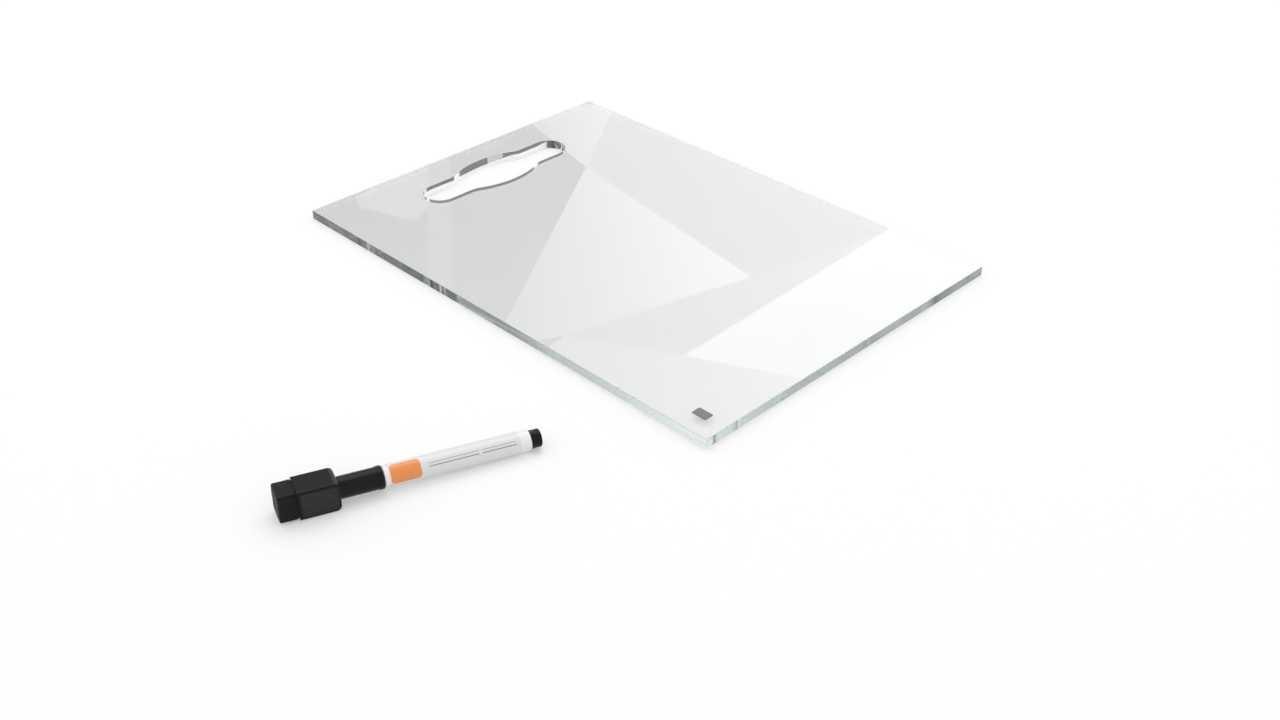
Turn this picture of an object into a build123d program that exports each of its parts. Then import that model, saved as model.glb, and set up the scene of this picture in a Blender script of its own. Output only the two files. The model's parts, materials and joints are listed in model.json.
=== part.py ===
from build123d import *
from math import asin, atan2, cos, hypot, radians, sin
import os

# An acrylic memo board lying flat, with its marker pen beside it, in millimetres.
# The origin is the centre of the board's underside. +X runs from the hand-hold to the
# badge, +Y across the board and away from the pen, and +Z up.

# The clear sheet, with a small arris along every cut edge
panel_length = 297.0
panel_width = 210.0
panel_thickness = 5.0
panel_arris = 0.25

# The hand-hold: a slot with round ends and a wider middle, along the short edge
hold_inset = 33.0
hold_length = 101.5
hold_slot_width = 20.0
hold_middle_width = 32.2
hold_middle_radius = 50.0
hold_blend_radius = 10.0

# The badge at the corner of the top face
badge_length = 8.4
badge_width = 5.3
badge_thickness = 0.3
badge_inset = 10.0
badge_corner_radius = 0.6
badge_arris = 0.1

# The pen on the floor: where its tail is, and which way it points, in degrees from +X
pen_tail_along = 95.8
pen_tail_gap = 49.6
pen_heading = 70.0

# The cap: a felt pad on a rectangular head, and a round sleeve with a rim
pad_length = 8.2
pad_width = 13.0
pad_depth = 12.0
pad_round = 0.8
head_length = 17.6
head_width = 14.0
head_depth = 13.0
head_shoulder_radius = 2.5
head_edge_radius = 1.0
sleeve_length = 18.8
sleeve_diameter = 9.8
rim_length = 2.3
rim_diameter = 10.3
rim_chamfer = 0.15
mouth_chamfer = 0.25

# The magnet, flush in one flat of the head
magnet_margin = 1.2
magnet_depth = 2.0
magnet_corner_radius = 0.5
magnet_clearance = 0.05

# The barrel and the printed film round it, which leaves its two ends bare
barrel_length = 65.0
barrel_diameter = 9.7
barrel_wall = 1.1
barrel_chamfer = 0.3
label_head_margin = 2.0
label_tail_margin = 5.0
label_film = 0.08
label_clearance = 0.02

# The nib section: a plug in the barrel, a neck that the cap grips, a cone and a nose
spigot_length = 7.0
spigot_clearance = 0.03
neck_diameter = 8.1
neck_length = 11.6
cone_length = 6.0
nose_diameter = 4.6
nose_length = 1.6

# The nib, and the reservoir that its stem feeds from
nib_diameter = 3.0
nib_reach = 4.5
nib_tip_radius = 1.2
nib_stem_length = 6.0
nib_clearance = 0.03
reservoir_diameter = 6.9
reservoir_chamfer = 0.3

# The plug that closes the tail
plug_length = 5.1
plug_diameter = 8.7
plug_waist_diameter = 8.1
plug_end_diameter = 8.4
plug_end_round = 0.6
plug_spigot_length = 5.0

# The soft cup in the cap that seals round the nib
liner_wall = 0.8
liner_clearance = 0.3
liner_seat_clearance = 0.03
liner_tip_space = 1.2

# How the cap sits: free of the barrel's end by a gap, and running on the neck
cap_gap = 0.3
cap_running_clearance = 0.08

# One overrun for every cut
overrun = 1.0

# Stations along the pen, measured from the end of the felt pad
head_start = pad_length
head_end = head_start + head_length
cap_end = head_end + sleeve_length
barrel_start = cap_end + cap_gap
barrel_end = barrel_start + barrel_length
pen_length = barrel_end + plug_length
neck_start = barrel_start - neck_length
cone_start = neck_start - cone_length
nose_start = cone_start - nose_length
nib_start = nose_start - nib_reach
section_end = barrel_start + spigot_length
plug_start = barrel_end - plug_spigot_length
liner_start = nib_start - liner_tip_space - liner_wall
label_start = barrel_start + label_head_margin
label_end = barrel_end - label_tail_margin

# Diameters that follow from what fits inside what
barrel_bore = barrel_diameter - 2 * barrel_wall
spigot_diameter = barrel_bore - 2 * spigot_clearance
nib_bore = nib_diameter + 2 * nib_clearance
cap_bore = neck_diameter + 2 * cap_running_clearance
liner_bore = nose_diameter + 2 * liner_clearance
liner_diameter = liner_bore + 2 * liner_wall
liner_seat = liner_diameter + 2 * liner_seat_clearance
label_bore = barrel_diameter + 2 * label_clearance
label_diameter = label_bore + 2 * label_film

# The pen rests on the head's rounded shoulder and on the barrel's tail edge, so its axis
# dips towards the tail until both touch the floor.
rest_span = barrel_end - barrel_chamfer - (head_end - head_shoulder_radius)
rest_rise = barrel_diameter / 2 - (head_width / 2 - head_shoulder_radius)
dip = asin(head_shoulder_radius / hypot(rest_span, rest_rise)) - atan2(rest_rise, rest_span)
turn = radians(pen_heading)
pen_direction = Vector(cos(turn) * cos(dip), sin(turn) * cos(dip), -sin(dip))
pen_side = Vector(sin(turn), -cos(turn), 0)
tail_height = plug_length * -sin(dip) + barrel_chamfer * -sin(dip) + barrel_diameter / 2 * cos(dip)
pen_tail = Vector(pen_tail_along, -(panel_width / 2 + pen_tail_gap), tail_height)
pen_origin = pen_tail - pen_direction * pen_length
pen_plane = Plane(origin=pen_origin, x_dir=pen_direction, z_dir=pen_side)
pen_axis = Axis(pen_origin, pen_direction)

os.makedirs("parts", exist_ok=True)

# The clear sheet with its hand-hold
hold_centre = -panel_length / 2 + hold_inset
middle_offset = hold_middle_radius - hold_middle_width / 2

with BuildSketch(mode=Mode.PRIVATE) as hold_middle:
    with Locations((hold_centre + middle_offset, 0)):
        Circle(hold_middle_radius)
    with Locations((hold_centre - middle_offset, 0)):
        Circle(hold_middle_radius, mode=Mode.INTERSECT)

with BuildSketch(mode=Mode.PRIVATE) as hand_hold:
    with Locations((hold_centre, 0)):
        SlotOverall(hold_length, hold_slot_width, rotation=90)
    add(hold_middle.sketch)
    inner_corners = hand_hold.vertices().sort_by(lambda corner: abs(corner.Y))[:4]
    fillet(inner_corners, radius=hold_blend_radius)

with BuildPart() as acrylic_panel:
    with BuildSketch():
        Rectangle(panel_length, panel_width)
        add(hand_hold.sketch, mode=Mode.SUBTRACT)
    extrude(amount=panel_thickness)
    chamfer(acrylic_panel.faces().filter_by(Axis.Z).edges(), length=panel_arris)
acrylic_panel.part.label = "acrylic_panel"
export_step(acrylic_panel.part, "parts/acrylic_panel.step")

# The bare badge on the top face
badge_place = (
    panel_length / 2 - badge_inset - badge_length / 2,
    -panel_width / 2 + badge_inset + badge_width / 2,
)
with BuildPart() as corner_badge:
    with BuildSketch(Plane.XY.offset(panel_thickness)):
        with Locations(badge_place):
            RectangleRounded(badge_length, badge_width, badge_corner_radius)
    extrude(amount=badge_thickness)
    chamfer(corner_badge.faces().sort_by(Axis.Z)[-1].edges(), length=badge_arris)
corner_badge.part.label = "corner_badge"
export_step(corner_badge.part, "parts/corner_badge.step")

# The barrel, a plain tube with its outer ends eased
with BuildPart() as pen_barrel:
    with BuildSketch(pen_plane):
        with BuildLine():
            Polyline(
                (barrel_start, barrel_bore / 2),
                (barrel_start, barrel_diameter / 2 - barrel_chamfer),
                (barrel_start + barrel_chamfer, barrel_diameter / 2),
                (barrel_end - barrel_chamfer, barrel_diameter / 2),
                (barrel_end, barrel_diameter / 2 - barrel_chamfer),
                (barrel_end, barrel_bore / 2),
                close=True,
            )
        make_face()
    revolve(axis=pen_axis)
pen_barrel.part.label = "pen_barrel"
export_step(pen_barrel.part, "parts/pen_barrel.step")

# The printed film wrapped round the barrel
with BuildPart() as pen_label:
    with BuildSketch(pen_plane):
        with BuildLine():
            Polyline(
                (label_start, label_bore / 2),
                (label_start, label_diameter / 2),
                (label_end, label_diameter / 2),
                (label_end, label_bore / 2),
                close=True,
            )
        make_face()
    revolve(axis=pen_axis)
pen_label.part.label = "pen_label"
export_step(pen_label.part, "parts/pen_label.step")

# The nib section, bored for the nib's stem
with BuildPart() as nib_section:
    with BuildSketch(pen_plane):
        with BuildLine():
            Polyline(
                (nose_start, nib_bore / 2),
                (nose_start, nose_diameter / 2),
                (cone_start, nose_diameter / 2),
                (neck_start, neck_diameter / 2),
                (barrel_start, neck_diameter / 2),
                (barrel_start, spigot_diameter / 2),
                (section_end, spigot_diameter / 2),
                (section_end, nib_bore / 2),
                close=True,
            )
        make_face()
    revolve(axis=pen_axis)
nib_section.part.label = "nib_section"
export_step(nib_section.part, "parts/nib_section.step")

# The nib, a bullet tip on a long stem
with BuildPart() as nib:
    with BuildSketch(pen_plane) as nib_half:
        with BuildLine():
            Polyline(
                (nib_start, 0),
                (nib_start, nib_diameter / 2),
                (section_end + nib_stem_length, nib_diameter / 2),
                (section_end + nib_stem_length, 0),
                close=True,
            )
        make_face()
        tip_corner = nib_half.vertices().sort_by(pen_axis)[:2].sort_by(Axis.Z)[-1]
        fillet(tip_corner, radius=nib_tip_radius)
    revolve(axis=pen_axis)
nib.part.label = "nib"
export_step(nib.part, "parts/nib.step")

# The fibre reservoir between the section and the tail plug, with a socket for the stem
with BuildPart() as ink_reservoir:
    with BuildSketch(pen_plane):
        with BuildLine():
            Polyline(
                (section_end, nib_bore / 2),
                (section_end, reservoir_diameter / 2 - reservoir_chamfer),
                (section_end + reservoir_chamfer, reservoir_diameter / 2),
                (plug_start - reservoir_chamfer, reservoir_diameter / 2),
                (plug_start, reservoir_diameter / 2 - reservoir_chamfer),
                (plug_start, 0),
                (section_end + nib_stem_length, 0),
                (section_end + nib_stem_length, nib_bore / 2),
                close=True,
            )
        make_face()
    revolve(axis=pen_axis)
ink_reservoir.part.label = "ink_reservoir"
export_step(ink_reservoir.part, "parts/ink_reservoir.step")

# The tail plug, drawn in at its waist
with BuildPart() as end_plug:
    with BuildSketch(pen_plane):
        with BuildLine():
            Polyline(
                (barrel_end, plug_diameter / 2),
                (barrel_end, spigot_diameter / 2),
                (plug_start, spigot_diameter / 2),
                (plug_start, 0),
                (pen_length, 0),
                (pen_length, plug_end_diameter / 2),
            )
            ThreePointArc(
                (pen_length, plug_end_diameter / 2),
                (barrel_end + plug_length / 2, plug_waist_diameter / 2),
                (barrel_end, plug_diameter / 2),
            )
        make_face()
    revolve(axis=pen_axis)
    fillet(end_plug.edges().sort_by(pen_axis)[-1], radius=plug_end_round)
end_plug.part.label = "end_plug"
export_step(end_plug.part, "parts/end_plug.step")

# The cap's shell: the head, the sleeve with its rim, the bores and the magnet's pocket
head_middle = (head_start + head_end) / 2
magnet_length = head_length - 2 * magnet_margin
magnet_width = head_width - 2 * magnet_margin
magnet_shoulder_radius = head_shoulder_radius - magnet_margin


def rounded_block(length, width, near_radius, far_radius):
    """A rectangle on the head's middle, with its corners towards the tail rounded more."""
    with BuildSketch(mode=Mode.PRIVATE) as block:
        with Locations((head_middle, 0)):
            Rectangle(length, width)
        corners = block.vertices().sort_by(Axis.X)
        fillet(corners[2:], radius=far_radius)
        if near_radius:
            near_corners = block.vertices().sort_by(Axis.X)[:2]
            fillet(near_corners, radius=near_radius)
    return block.sketch


with BuildPart() as cap_shell:
    with BuildSketch(pen_plane):
        add(rounded_block(head_length, head_width, 0, head_shoulder_radius))
    extrude(amount=head_depth / 2, both=True)
    flats = cap_shell.faces().filter_by(Plane(origin=pen_origin, z_dir=pen_side))
    flat_edges = flats.edges().sort_by(pen_axis)[2:]
    fillet(flat_edges, radius=head_edge_radius)
    with BuildSketch(pen_plane):
        with BuildLine():
            Polyline(
                (head_middle, 0),
                (head_middle, sleeve_diameter / 2),
                (cap_end - rim_length, sleeve_diameter / 2),
                (cap_end - rim_length + rim_chamfer, rim_diameter / 2),
                (cap_end - rim_chamfer, rim_diameter / 2),
                (cap_end, rim_diameter / 2 - rim_chamfer),
                (cap_end, 0),
                close=True,
            )
        make_face()
    revolve(axis=pen_axis)
    with BuildSketch(pen_plane):
        with BuildLine():
            Polyline(
                (liner_start, 0),
                (liner_start, liner_seat / 2),
                (cone_start, liner_seat / 2),
                (cone_start, cap_bore / 2),
                (cap_end - mouth_chamfer, cap_bore / 2),
                (cap_end, cap_bore / 2 + mouth_chamfer),
                (cap_end + overrun, cap_bore / 2 + mouth_chamfer),
                (cap_end + overrun, 0),
                close=True,
            )
        make_face()
    revolve(axis=pen_axis, mode=Mode.SUBTRACT)
    with BuildSketch(pen_plane.offset(head_depth / 2)):
        add(
            rounded_block(
                magnet_length + 2 * magnet_clearance,
                magnet_width + 2 * magnet_clearance,
                magnet_corner_radius + magnet_clearance,
                magnet_shoulder_radius + magnet_clearance,
            )
        )
    extrude(amount=-magnet_depth, mode=Mode.SUBTRACT)
cap_shell.part.label = "cap_shell"
export_step(cap_shell.part, "parts/cap_shell.step")

# The magnet in its pocket
with BuildPart() as cap_magnet:
    with BuildSketch(pen_plane.offset(head_depth / 2)):
        add(
            rounded_block(
                magnet_length, magnet_width, magnet_corner_radius, magnet_shoulder_radius
            )
        )
    extrude(amount=-magnet_depth)
cap_magnet.part.label = "cap_magnet"
export_step(cap_magnet.part, "parts/cap_magnet.step")

# The soft cup round the nib, open towards the barrel
with BuildPart() as cap_liner:
    with BuildSketch(pen_plane):
        with BuildLine():
            Polyline(
                (liner_start, 0),
                (liner_start, liner_diameter / 2),
                (cone_start, liner_diameter / 2),
                (cone_start, liner_bore / 2),
                (liner_start + liner_wall, liner_bore / 2),
                (liner_start + liner_wall, 0),
                close=True,
            )
        make_face()
    revolve(axis=pen_axis)
cap_liner.part.label = "cap_liner"
export_step(cap_liner.part, "parts/cap_liner.step")

# The felt pad glued to the head's end
pad_plane = Plane(origin=pen_origin, x_dir=pen_side, z_dir=pen_direction)
with BuildPart() as eraser_pad:
    with BuildSketch(pad_plane):
        RectangleRounded(pad_depth, pad_width, pad_round)
    extrude(amount=pad_length)
    fillet(eraser_pad.faces().sort_by(pen_axis)[0].edges(), radius=pad_round / 2)
eraser_pad.part.label = "eraser_pad"
export_step(eraser_pad.part, "parts/eraser_pad.step")
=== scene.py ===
import json
from math import atan2, cos, pi, radians, sin, sqrt
from random import Random

import bmesh
import bpy
from bpy.props import FloatProperty, FloatVectorProperty, IntProperty, PointerProperty
from mathutils import Matrix, Vector, noise


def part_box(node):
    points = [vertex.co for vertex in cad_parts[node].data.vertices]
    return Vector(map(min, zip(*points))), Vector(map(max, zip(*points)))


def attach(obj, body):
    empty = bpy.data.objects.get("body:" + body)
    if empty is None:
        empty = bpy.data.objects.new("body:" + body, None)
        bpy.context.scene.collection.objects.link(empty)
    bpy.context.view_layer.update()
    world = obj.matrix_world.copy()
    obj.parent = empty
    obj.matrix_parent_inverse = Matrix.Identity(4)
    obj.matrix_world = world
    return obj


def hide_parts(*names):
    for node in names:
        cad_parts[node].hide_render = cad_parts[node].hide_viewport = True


bl_info = {
    "name": "Acrylic memo board",
    "version": (1, 0, 0),
    "blender": (4, 5, 0),
    "location": "3D View > Sidebar > Memo board",
    "description": "Dresses the packed memo board and its pen, and sets a studio round them",
    "category": "Object",
}

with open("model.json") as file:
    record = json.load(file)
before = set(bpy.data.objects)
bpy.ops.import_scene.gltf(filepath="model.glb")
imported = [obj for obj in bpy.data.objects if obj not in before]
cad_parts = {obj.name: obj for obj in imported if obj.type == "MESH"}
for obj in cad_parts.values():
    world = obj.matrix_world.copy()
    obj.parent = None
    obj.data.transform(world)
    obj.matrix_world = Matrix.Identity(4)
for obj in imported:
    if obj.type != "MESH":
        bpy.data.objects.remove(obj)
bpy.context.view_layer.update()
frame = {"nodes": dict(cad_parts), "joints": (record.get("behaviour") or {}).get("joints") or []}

MM = 0.001


# Shared helpers

def linear(code):
    """The linear colour of an sRGB hex value."""
    shares = [int(code[start:start + 2], 16) / 255 for start in (1, 3, 5)]
    return tuple(s / 12.92 if s <= 0.04045 else ((s + 0.055) / 1.055) ** 2.4 for s in shares)


# How a tree's nodes are laid out: so many to a row, and this far apart across and down
NODES_IN_ROW, NODE_ACROSS, NODE_DOWN = 7, 220, 260


def add(tree, kind, inputs=None, **settings):
    """Adds a node. Settings are its own; inputs are values, or the sockets that feed it."""
    made = tree.nodes.new(kind)
    row, column = divmod(len(tree.nodes), NODES_IN_ROW)
    made.location = (NODE_ACROSS * column, -NODE_DOWN * row)
    for name, value in settings.items():
        setattr(made, name, value)
    for key, value in (inputs or {}).items():
        if isinstance(value, bpy.types.NodeSocket):
            tree.links.new(value, made.inputs[key])
        else:
            made.inputs[key].default_value = value
    return made


def empty_material(name):
    """A node material with nothing in it yet, and its tree."""
    material = bpy.data.materials.new(name)
    material.use_nodes = True
    material.node_tree.nodes.clear()
    return material, material.node_tree


def finish_node(piece, material):
    """Gives a piece one material on its own slots, so its mesh stays as it is."""
    if not piece.data.materials:
        piece.data.materials.append(material)
    for slot in piece.material_slots:
        slot.link = "OBJECT"
        slot.material = material


def mesh_piece(name, work, materials):
    """Turns a bmesh into an object of the scene."""
    mesh = bpy.data.meshes.new(name)
    work.to_mesh(mesh)
    work.free()
    piece = bpy.data.objects.new(name, mesh)
    bpy.context.scene.collection.objects.link(piece)
    for material in materials:
        mesh.materials.append(material)
    return piece


# The sheet's lowest and highest corner
panel_low, panel_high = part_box("acrylic_panel")

# The pen's own frame: along runs from the felt to the plug, side is where the magnet faces
slide_axis = next(j for j in frame["joints"] if j["name"] == "cap_slide")["axis"]
pen_along = -Vector(slide_axis).normalized()
pen_side = pen_along.cross(Vector((0, 0, 1))).normalized()
pen_up = pen_side.cross(pen_along)
barrel_low, barrel_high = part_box("pen_barrel")
# From the felt's end to the barrel's middle
BARREL_MIDDLE = 77.4 * MM
pen_start = (barrel_low + barrel_high) / 2 - pen_along * BARREL_MIDDLE
pen_turn = Matrix((pen_along, pen_up, pen_side)).transposed()
pen_euler = pen_turn.to_euler("XYZ")


# What a user changes

class StudioSettings(bpy.types.PropertyGroup):
    """The floor, the lamps and the camera."""
    floor_size: FloatProperty(
        name="Floor size", description="Side of the square floor",
        default=24.0, unit="LENGTH")
    floor_colour: FloatVectorProperty(
        name="Floor", description="Colour of the pale floor", subtype="COLOR",
        default=linear("#E8E8E8"), min=0, max=1)
    floor_glow: FloatProperty(
        name="Floor glow", description="Share of plain white in the floor that is seen",
        default=0.3, subtype="FACTOR", min=0, max=1)
    room_level: FloatProperty(
        name="Room light", description="How much even light the room gives",
        default=0.85)
    key_power: FloatProperty(
        name="Key lamp", description="Power of the soft lamp above and behind the board",
        default=14.0, unit="POWER")
    key_size: FloatProperty(
        name="Key lamp size", description="Side of the soft lamp", default=1.8, unit="LENGTH")
    edge_strip: FloatProperty(
        name="Edge strip", description="Width of the white strips under the two back edges",
        default=3.9 * MM, unit="LENGTH", precision=4)
    wall_distance: FloatProperty(
        name="Card distance", description="How far behind the board the studio's cards stand",
        default=6.0, unit="LENGTH")
    lens: FloatProperty(
        name="Lens", description="Focal length in millimetres on a 36 mm wide sensor",
        default=40.58)


class BoardSettings(bpy.types.PropertyGroup):
    """The clear sheet and its badge."""
    arris: FloatProperty(
        name="Arris", description="Width of the eased edge round both faces",
        default=0.06 * MM, unit="LENGTH", precision=5)
    hold_length: FloatProperty(
        name="Hold length", description="Length of the hand-hold",
        default=101.5 * MM, unit="LENGTH", precision=4)
    hold_slot_width: FloatProperty(
        name="Hold width", description="Width of the hand-hold at its ends",
        default=20.0 * MM, unit="LENGTH", precision=4)
    hold_middle_width: FloatProperty(
        name="Hold middle", description="Width of the hand-hold at its middle",
        default=32.2 * MM, unit="LENGTH", precision=4)
    hold_middle_radius: FloatProperty(
        name="Hold middle radius", description="Radius of the two arcs at the middle",
        default=50.0 * MM, unit="LENGTH", precision=4)
    hold_blend_radius: FloatProperty(
        name="Hold blend radius", description="Radius where the middle runs into the slot",
        default=10.0 * MM, unit="LENGTH", precision=4)
    hold_inset: FloatProperty(
        name="Hold inset", description="From the short edge to the middle of the hand-hold",
        default=33.0 * MM, unit="LENGTH", precision=4)
    acrylic_tint: FloatVectorProperty(
        name="Acrylic tint", description="What a long way through the sheet looks like",
        subtype="COLOR", default=linear("#84AFA4"), min=0, max=1)
    wall_shadow: FloatVectorProperty(
        name="Wall shadow", description="Light that one wall lets through to the floor",
        subtype="COLOR", default=linear("#A0A2A1"), min=0, max=1)
    acrylic_shadow: FloatVectorProperty(
        name="Acrylic shadow", description="Light that one face lets through to the floor",
        subtype="COLOR", default=linear("#E2E4E3"), min=0, max=1)
    badge_colour: FloatVectorProperty(
        name="Badge", description="Colour of the badge's foil", subtype="COLOR",
        default=linear("#6A6A6C"), min=0, max=1)


class PenSettings(bpy.types.PropertyGroup):
    """The pen and its print."""
    barrel_colour: FloatVectorProperty(
        name="Barrel", description="Colour of the moulded barrel", subtype="COLOR",
        default=linear("#F2F2F2"), min=0, max=1)
    label_colour: FloatVectorProperty(
        name="Label", description="Ground colour of the printed film", subtype="COLOR",
        default=linear("#E3E3E4"), min=0, max=1)
    patch_colour: FloatVectorProperty(
        name="Patch", description="Colour of the rounded patch", subtype="COLOR",
        default=linear("#F08E3C"), min=0, max=1)
    patch_start: FloatProperty(
        name="Patch start", description="Where the patch starts, from the felt's end",
        default=47.4 * MM, unit="LENGTH", precision=4)
    patch_length: FloatProperty(
        name="Patch length", description="Length of the patch along the pen",
        default=13.2 * MM, unit="LENGTH", precision=4)
    patch_width: FloatProperty(
        name="Patch width", description="Width of the patch round the barrel",
        default=9.4 * MM, unit="LENGTH", precision=4)
    print_turn: FloatProperty(
        name="Print turn", description="How far the print is turned up from the magnet's side",
        default=radians(36), subtype="ANGLE")
    rule_colour: FloatVectorProperty(
        name="Rules", description="Colour of the plain printed rules", subtype="COLOR",
        default=linear("#9A9B9D"), min=0, max=1)
    black_colour: FloatVectorProperty(
        name="Black plastic", description="Colour of the cap and the plug", subtype="COLOR",
        default=linear("#08080A"), min=0, max=1)
    magnet_colour: FloatVectorProperty(
        name="Magnet", description="Colour of the magnet", subtype="COLOR",
        default=linear("#1F2023"), min=0, max=1)
    felt_colour: FloatVectorProperty(
        name="Felt", description="Colour of the eraser's felt", subtype="COLOR",
        default=linear("#0A0B12"), min=0, max=1)
    felt_fibres: IntProperty(
        name="Felt fibres", description="Loose fibres that stand on the felt", default=2600)


# Materials

# The sheet's walls are where its normal rises less than this, and their polish is this rough
WALL_RISE, WALL_ROUGHNESS = 0.5, 0.06


def cast_acrylic(board):
    """Cast acrylic sheet, its faces as cast and its edges polished: clear, with a glint on
    every edge, a green cast only where light runs the length of the sheet, and a trace of
    wiping on the faces."""
    material, tree = empty_material("cast_acrylic_polished")
    place = add(tree, "ShaderNodeTexCoord")
    # Wiping leaves arcs of haze about 30 mm apart, too faint to show but in a glint
    haze = add(tree, "ShaderNodeTexNoise", {
        "Vector": place.outputs["Object"], "Scale": 1 / (30 * MM), "Detail": 6.0,
        "Roughness": 0.6, "Distortion": 0.8})
    rough = add(tree, "ShaderNodeMapRange", {
        "Value": haze.outputs["Fac"], "From Min": 0.35, "From Max": 0.75,
        "To Min": 0.002, "To Max": 0.009})
    # The saw and the polish leave upright ripples about 2 mm apart on the walls alone
    upright = add(tree, "ShaderNodeMapping", {
        "Vector": place.outputs["Object"], "Scale": (1.0, 1.0, 0.08)})
    ripple = add(tree, "ShaderNodeTexNoise", {
        "Vector": upright.outputs["Vector"], "Scale": 1 / (2 * MM), "Detail": 2.0,
        "Roughness": 0.4})
    facing = add(tree, "ShaderNodeNewGeometry")
    parts = add(tree, "ShaderNodeSeparateXYZ", {"Vector": facing.outputs["Normal"]})
    rise = add(tree, "ShaderNodeMath", {0: parts.outputs["Z"]}, operation="ABSOLUTE")
    wall = add(tree, "ShaderNodeMath", {
        0: rise.outputs[0], 1: WALL_RISE}, operation="LESS_THAN")
    bump = add(tree, "ShaderNodeBump", {
        "Height": ripple.outputs["Fac"], "Distance": 0.006 * MM, "Strength": wall.outputs[0]})
    gloss = add(tree, "ShaderNodeMix", {
        0: wall.outputs[0], 2: rough.outputs["Result"], 3: WALL_ROUGHNESS})
    sheet = add(tree, "ShaderNodeBsdfPrincipled", {
        "Base Color": (1, 1, 1, 1), "Roughness": gloss.outputs[0], "IOR": 1.49,
        "Transmission Weight": 1.0, "Normal": bump.outputs["Normal"]})
    # A wall turns most light aside, so the floor is darker along every cut edge
    kept = add(tree, "ShaderNodeMixRGB", {
        "Fac": wall.outputs[0], "Color1": (*board.acrylic_shadow, 1),
        "Color2": (*board.wall_shadow, 1)})
    through = add(tree, "ShaderNodeBsdfTransparent", {"Color": kept.outputs["Color"]})
    path = add(tree, "ShaderNodeLightPath")
    surface = add(tree, "ShaderNodeMixShader", {
        "Fac": path.outputs["Is Shadow Ray"], 1: sheet.outputs["BSDF"],
        2: through.outputs["BSDF"]})
    volume = add(tree, "ShaderNodeVolumeAbsorption", {
        "Color": (*board.acrylic_tint, 1), "Density": 2.0})
    add(tree, "ShaderNodeOutputMaterial", {
        "Surface": surface.outputs["Shader"], "Volume": volume.outputs["Volume"]})
    return material


def brushed_foil(board):
    """Grey anodised aluminium foil, brushed along its length: a soft streaked sheen."""
    material, tree = empty_material("anodised_aluminium_brushed")
    place = add(tree, "ShaderNodeTexCoord")
    # Brush lines are about 0.1 mm apart and run along the badge
    along = add(tree, "ShaderNodeMapping", {
        "Vector": place.outputs["Object"], "Scale": (0.05, 1.0, 1.0)})
    lines = add(tree, "ShaderNodeTexNoise", {
        "Vector": along.outputs["Vector"], "Scale": 1 / (0.1 * MM), "Detail": 4.0,
        "Roughness": 0.6})
    shade = add(tree, "ShaderNodeMixRGB", {
        "Fac": lines.outputs["Fac"], "Color1": (*(c * 0.8 for c in board.badge_colour), 1),
        "Color2": (*(min(1, c * 1.25) for c in board.badge_colour), 1)})
    rough = add(tree, "ShaderNodeMapRange", {
        "Value": lines.outputs["Fac"], "To Min": 0.3, "To Max": 0.5})
    bump = add(tree, "ShaderNodeBump", {
        "Height": lines.outputs["Fac"], "Distance": 0.004 * MM, "Strength": 0.6})
    foil = add(tree, "ShaderNodeBsdfPrincipled", {
        "Base Color": shade.outputs["Color"], "Metallic": 0.7,
        "Roughness": rough.outputs["Result"], "Anisotropic": 0.5,
        "Normal": bump.outputs["Normal"]})
    add(tree, "ShaderNodeOutputMaterial", {"Surface": foil.outputs["BSDF"]})
    return material


def moulded_plastic(name, colour, roughness, grain, depth, specular=0.5):
    """Injection-moulded plastic: an even colour with a faint cloudiness, the fine grain of
    the tool's steel, and a gloss that varies a little from place to place."""
    material, tree = empty_material(name)
    place = add(tree, "ShaderNodeTexCoord")
    # The cloudiness and the changes in gloss are about 6 mm across
    cloud = add(tree, "ShaderNodeTexNoise", {
        "Vector": place.outputs["Object"], "Scale": 1 / (6 * MM), "Detail": 3.0})
    shade = add(tree, "ShaderNodeMixRGB", {
        "Fac": cloud.outputs["Fac"], "Color1": (*(c * 0.9 for c in colour), 1),
        "Color2": (*(min(1, c * 1.08) for c in colour), 1)})
    steel = add(tree, "ShaderNodeTexNoise", {
        "Vector": place.outputs["Object"], "Scale": 1 / grain, "Detail": 4.0,
        "Roughness": 0.6})
    rough = add(tree, "ShaderNodeMapRange", {
        "Value": cloud.outputs["Fac"], "From Min": 0.3, "From Max": 0.7,
        "To Min": roughness * 0.8, "To Max": roughness * 1.25})
    bump = add(tree, "ShaderNodeBump", {
        "Height": steel.outputs["Fac"], "Distance": depth, "Strength": 0.5})
    plastic = add(tree, "ShaderNodeBsdfPrincipled", {
        "Base Color": shade.outputs["Color"], "Roughness": rough.outputs["Result"],
        "IOR": 1.49, "Specular IOR Level": specular, "Normal": bump.outputs["Normal"]})
    add(tree, "ShaderNodeOutputMaterial", {"Surface": plastic.outputs["BSDF"]})
    return material


# The print's sizes: the film's radius, the patch's corners and the blur at its rim, and the
# rules, a broad one and a fine one that the edge of their band cuts off
PRINT_RADIUS, PATCH_CORNER, PATCH_BLUR = 4.95 * MM, 1.8 * MM, 0.05 * MM
RULE_SHIFT, RULE_SPACING, RULE_WIDTH, RULE_BAND = 0.375 * MM, 1.5 * MM, 0.52 * MM, 2.3 * MM
# Each run of rules: where its middle is, from the felt's end, and half its length
RULE_RUNS = ((75.0 * MM, 11.0 * MM), (95.3 * MM, 7.7 * MM))


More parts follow.
